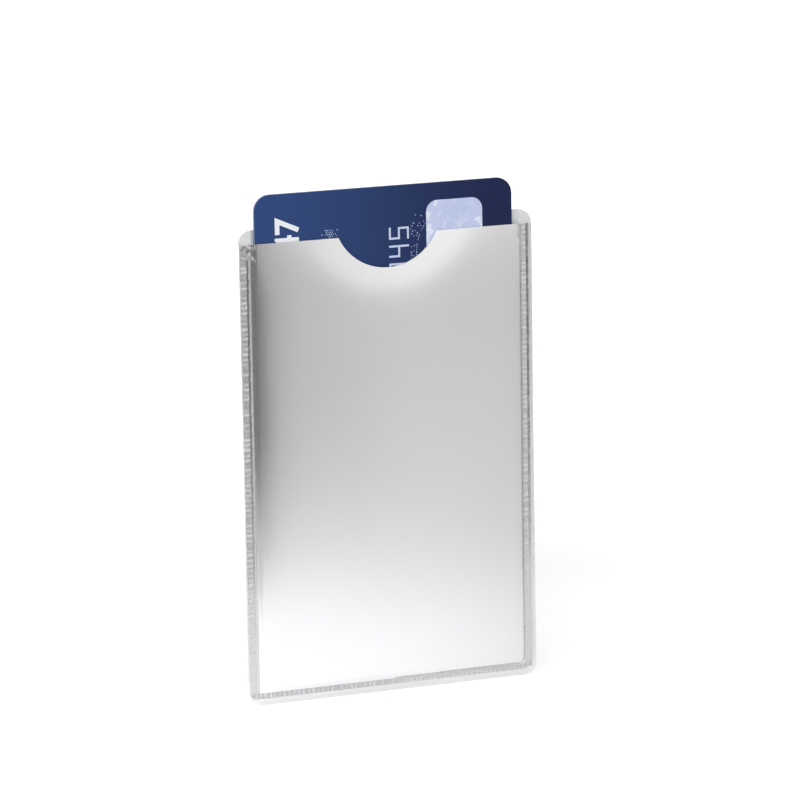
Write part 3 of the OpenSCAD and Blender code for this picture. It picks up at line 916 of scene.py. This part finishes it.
def inkPiece(bm, name, inkName, tones):
    # lifts a flat print to its thickness and gives it its ink
    material, tree, shader = newMaterial(inkName)
    cloudColour(tree, shader, noiseNode(tree, coordinates(tree), printing["inkCloud"], 2), tones)
    shader.inputs["Roughness"].default_value = printing["inkRough"]
    top = bmesh.ops.extrude_face_region(bm, geom=bm.faces[:])["geom"]
    bmesh.ops.translate(bm, vec=(0, -printing["inkHeight"], 0), verts=onlyVerts(top))
    finishPiece(bm, name, "card", [material])


def digitPatch(bm, letter, left, low):
    # one flat digit, lying on its side as the card stands
    wide, tall, half = printing["numberWide"], printing["numberTall"], printing["numberStroke"] / 2
    across = (-half, half, wide - half, wide + half)
    up = (-half, half, tall / 2 - half, tall / 2 + half, tall - half, tall + half)
    columns, rows = len(across) - 1, len(up) - 1
    filled = {(i, j) for part in digits[letter] for i in strokes[part][0] for j in strokes[part][1]}
    made = shareGrid(bm, columns, rows)
    spare = []
    for f in {f for v, sideways, upward in made for f in v.link_faces}:
        middle = f.calc_center_median()
        if (int((middle.x + 0.5) * columns), int((middle.y + 0.5) * rows)) not in filled:
            spare.append(f)
    for v, sideways, upward in made:
        v.co = (left - up[round(upward * rows)], cardFront, low + across[round(sideways * columns)])
    bmesh.ops.delete(bm, geom=spare, context="FACES")


def makeNumber():
    bm = bmesh.new()
    left = printing["numberMiddle"] + printing["numberTall"] / 2
    low = printing["numberTop"] - printing["numberWide"]
    for letter in reversed(printing["numberText"]):
        if letter == " ":
            low -= printing["numberGap"]
        else:
            digitPatch(bm, letter, left, low)
            low -= printing["numberPitch"]
    inkPiece(bm, "cardNumber", "paleInk", printing["numberInk"])


def makeHeading():
    curve = bpy.data.curves.new("cardHeading", "FONT")
    curve.body = printing["headText"]
    curve.size = printing["headTall"] / printing["fontShare"]
    curve.offset = printing["headBold"]
    curve.align_x = "RIGHT"
    text = addObject("headingText", curve)
    bpy.context.view_layer.update()
    bm = bmesh.new()
    bm.from_mesh(text.to_mesh())
    text.to_mesh_clear()
    bpy.data.objects.remove(text)
    bmesh.ops.remove_doubles(bm, verts=bm.verts, dist=1e-6)
    for v in bm.verts:
        v.co = (printing["headFrom"] - v.co.y, cardFront, printing["headTop"] + v.co.x)
    inkPiece(bm, "cardHeading", "whiteInk", printing["headInk"])


# the lattice of dots at the number's right, and the small patch of them at its left

dots = {
    "radius": 0.14 * mm, "seed": 11, "sides": 8, "least": 0.5,
    "rings": 9, "perRing": 44, "ringFrom": 9.0 * mm, "ringPitch": 0.55 * mm, "ringAt": (15.2 * mm, 88 * mm),
    "firstAngle": 112, "stepAngle": 3.1, "ringShare": 0.75, "ringLoss": 0.06,
    "fadeUp": (93 * mm, 96 * mm),
    "columns": 9, "rows": 10, "patchPitch": 0.4 * mm, "patchAt": (-13.6 * mm, 93.6 * mm),
    "patchShare": 0.8, "patchFade": 6,
}


def dotSpots():
    # where a dot may be, and its chance: rings that fade outwards and upwards, then the patch
    middleX, middleZ = dots["ringAt"]
    for ring in range(dots["rings"]):
        radius = dots["ringFrom"] + dots["ringPitch"] * ring
        for k in range(dots["perRing"]):
            angle = math.radians(dots["firstAngle"] + dots["stepAngle"] * (k + 0.5 * (ring % 2)))
            z = middleZ + radius * math.sin(angle)
            chance = (dots["ringShare"] - dots["ringLoss"] * ring) * (1 - smooth(*dots["fadeUp"], z))
            yield middleX + radius * math.cos(angle), z, chance
    leftX, topZ = dots["patchAt"]
    pitch = dots["patchPitch"]
    for column in range(dots["columns"]):
        near = 1 - abs(column - (dots["columns"] - 1) / 2) / dots["patchFade"]
        for row in range(dots["rows"]):
            x = leftX + pitch * (column + 0.5 * (row % 2))
            yield x, topZ - pitch * row, dots["patchShare"] * near


def makeDots():
    # no dot comes within a stroke of the number
    dice = random.Random(dots["seed"])
    clear = printing["numberTall"] / 2 + printing["numberStroke"]
    bm = bmesh.new()
    for x, z, chance in dotSpots():
        radius = dots["radius"] * dice.uniform(dots["least"], 1.0)
        if dice.random() < chance and abs(x - printing["numberMiddle"]) > clear:
            made = bmesh.ops.create_circle(bm, cap_ends=True, segments=dots["sides"], radius=radius)
            for v in made["verts"]:
                v.co = (x + v.co.x, cardFront, z + v.co.y)
    inkPiece(bm, "cardDots", "dotInk", printing["dotInk"])


# the card: its CAD layers keep their shapes and get their finishes

card = {
    "navyLeft": (0.03, 0.066, 0.2), "navyRight": (0.012, 0.02, 0.075),
    "gloss": 0.12, "rough": 0.32, "faceCoat": 0.06, "coatRough": 0.08, "roughSpread": 0.15,
    "hologram": ((0.49, 0.57, 0.85), (0.66, 0.73, 0.95)), "hologramPale": (0.8, 0.86, 1.0),
    "paleScale": 420, "paleGrain": 0.6, "paleFrom": (0.52, 0.56),
    "driftScale": 170, "driftFrom": (0.42, 0.6), "driftLeast": 0.2,
    "hologramMetal": 0.2, "hologramRough": 0.4,
}
# dark tone, pale tone, cloud scale, roughness and metal of each plain finish
plain = {
    "whiteSheet": ((0.78, 0.8, 0.84), (0.86, 0.88, 0.9), 700, 0.5, 0),
    "etchedCopper": ((0.62, 0.34, 0.2), (0.78, 0.46, 0.3), 1500, 0.35, 1),
    "contactGold": ((0.75, 0.56, 0.22), (0.86, 0.68, 0.32), 1800, 0.28, 1),
    "chipTape": ((0.1, 0.13, 0.05), (0.16, 0.2, 0.09), 2500, 0.5, 0),
    "siliconDie": ((0.2, 0.21, 0.23), (0.28, 0.29, 0.31), 1500, 0.25, 0.5),
    "castResin": ((0.012, 0.012, 0.013), (0.025, 0.025, 0.026), 900, 0.25, 0),
    "stripeTape": ((0.02, 0.019, 0.018), (0.035, 0.033, 0.03), 1400, 0.35, 0),
    "signatureCoat": ((0.74, 0.74, 0.7), (0.82, 0.82, 0.78), 1600, 0.7, 0),
}


def navyMaterial(name, coat):
    # navy that darkens to the right
    material, tree, shader = newMaterial(name)
    at = apart(tree, coordinates(tree))
    share = remap(tree, at[0], cardBox[0].x, cardBox[1].x, 0, 1, "SMOOTHSTEP")
    tree.links.new(mixColour(tree, share, card["navyLeft"], card["navyRight"]), shader.inputs["Base Color"])
    shader.inputs["Roughness"].default_value = card["rough"]
    shader.inputs["Specular IOR Level"].default_value = card["gloss"]
    shader.inputs["Coat Weight"].default_value = coat
    shader.inputs["Coat Roughness"].default_value = card["coatRough"]
    return material


def plainMaterial(name):
    low, high, scale, rough, metal = plain[name]
    spread = card["roughSpread"] * rough
    material, tree, shader = newMaterial(name)
    cloud = noiseNode(tree, coordinates(tree), scale, 3)
    cloudColour(tree, shader, cloud, (low, high))
    tree.links.new(stretched(tree, cloud, rough - spread, rough + spread), shader.inputs["Roughness"])
    shader.inputs["Metallic"].default_value = metal
    return material


def hologramMaterial():
    # pale blue foil with soft paler patches
    material, tree, shader = newMaterial("hologramFoil")
    vector = coordinates(tree)
    drift = noiseNode(tree, vector, card["driftScale"], 1)
    base = mixColour(tree, drift, *card["hologram"])
    patch = noiseNode(tree, vector, card["paleScale"], 2, card["paleGrain"])
    patch = remap(tree, patch, *card["paleFrom"], 0, 1, "SMOOTHSTEP")
    thinned = remap(tree, drift, *card["driftFrom"], card["driftLeast"], 1, "SMOOTHSTEP")
    patch = calc(tree, "MULTIPLY", patch, thinned)
    cloudColour(tree, shader, patch, (base, card["hologramPale"]))
    shader.inputs["Metallic"].default_value = card["hologramMetal"]
    shader.inputs["Roughness"].default_value = card["hologramRough"]
    return material


def dressCard():
    navy = navyMaterial("navyFace", card["faceCoat"])
    navyCore = navyMaterial("navyCore", 0)
    copper = plainMaterial("etchedCopper")
    finishes = {
        "card_front_overlay": navy, "card_rear_overlay": navy,
        "card_front_core": navyCore, "card_rear_core": navyCore,
        "card_antenna_inlay": plainMaterial("whiteSheet"),
        "antenna_coil": copper, "antenna_bridge": copper,
        "chip_contacts": plainMaterial("contactGold"),
        "chip_tape": plainMaterial("chipTape"),
        "chip_die": plainMaterial("siliconDie"),
        "chip_resin": plainMaterial("castResin"),
        "hologram_patch": hologramMaterial(),
        "magnetic_stripe": plainMaterial("stripeTape"),
        "signature_panel": plainMaterial("signatureCoat"),
    }
    for node, material in finishes.items():
        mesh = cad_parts[node].data
        mesh.materials.clear()
        mesh.materials.append(material)
    print("card dressed")


makeNumber()
makeHeading()
makeDots()
dressCard()
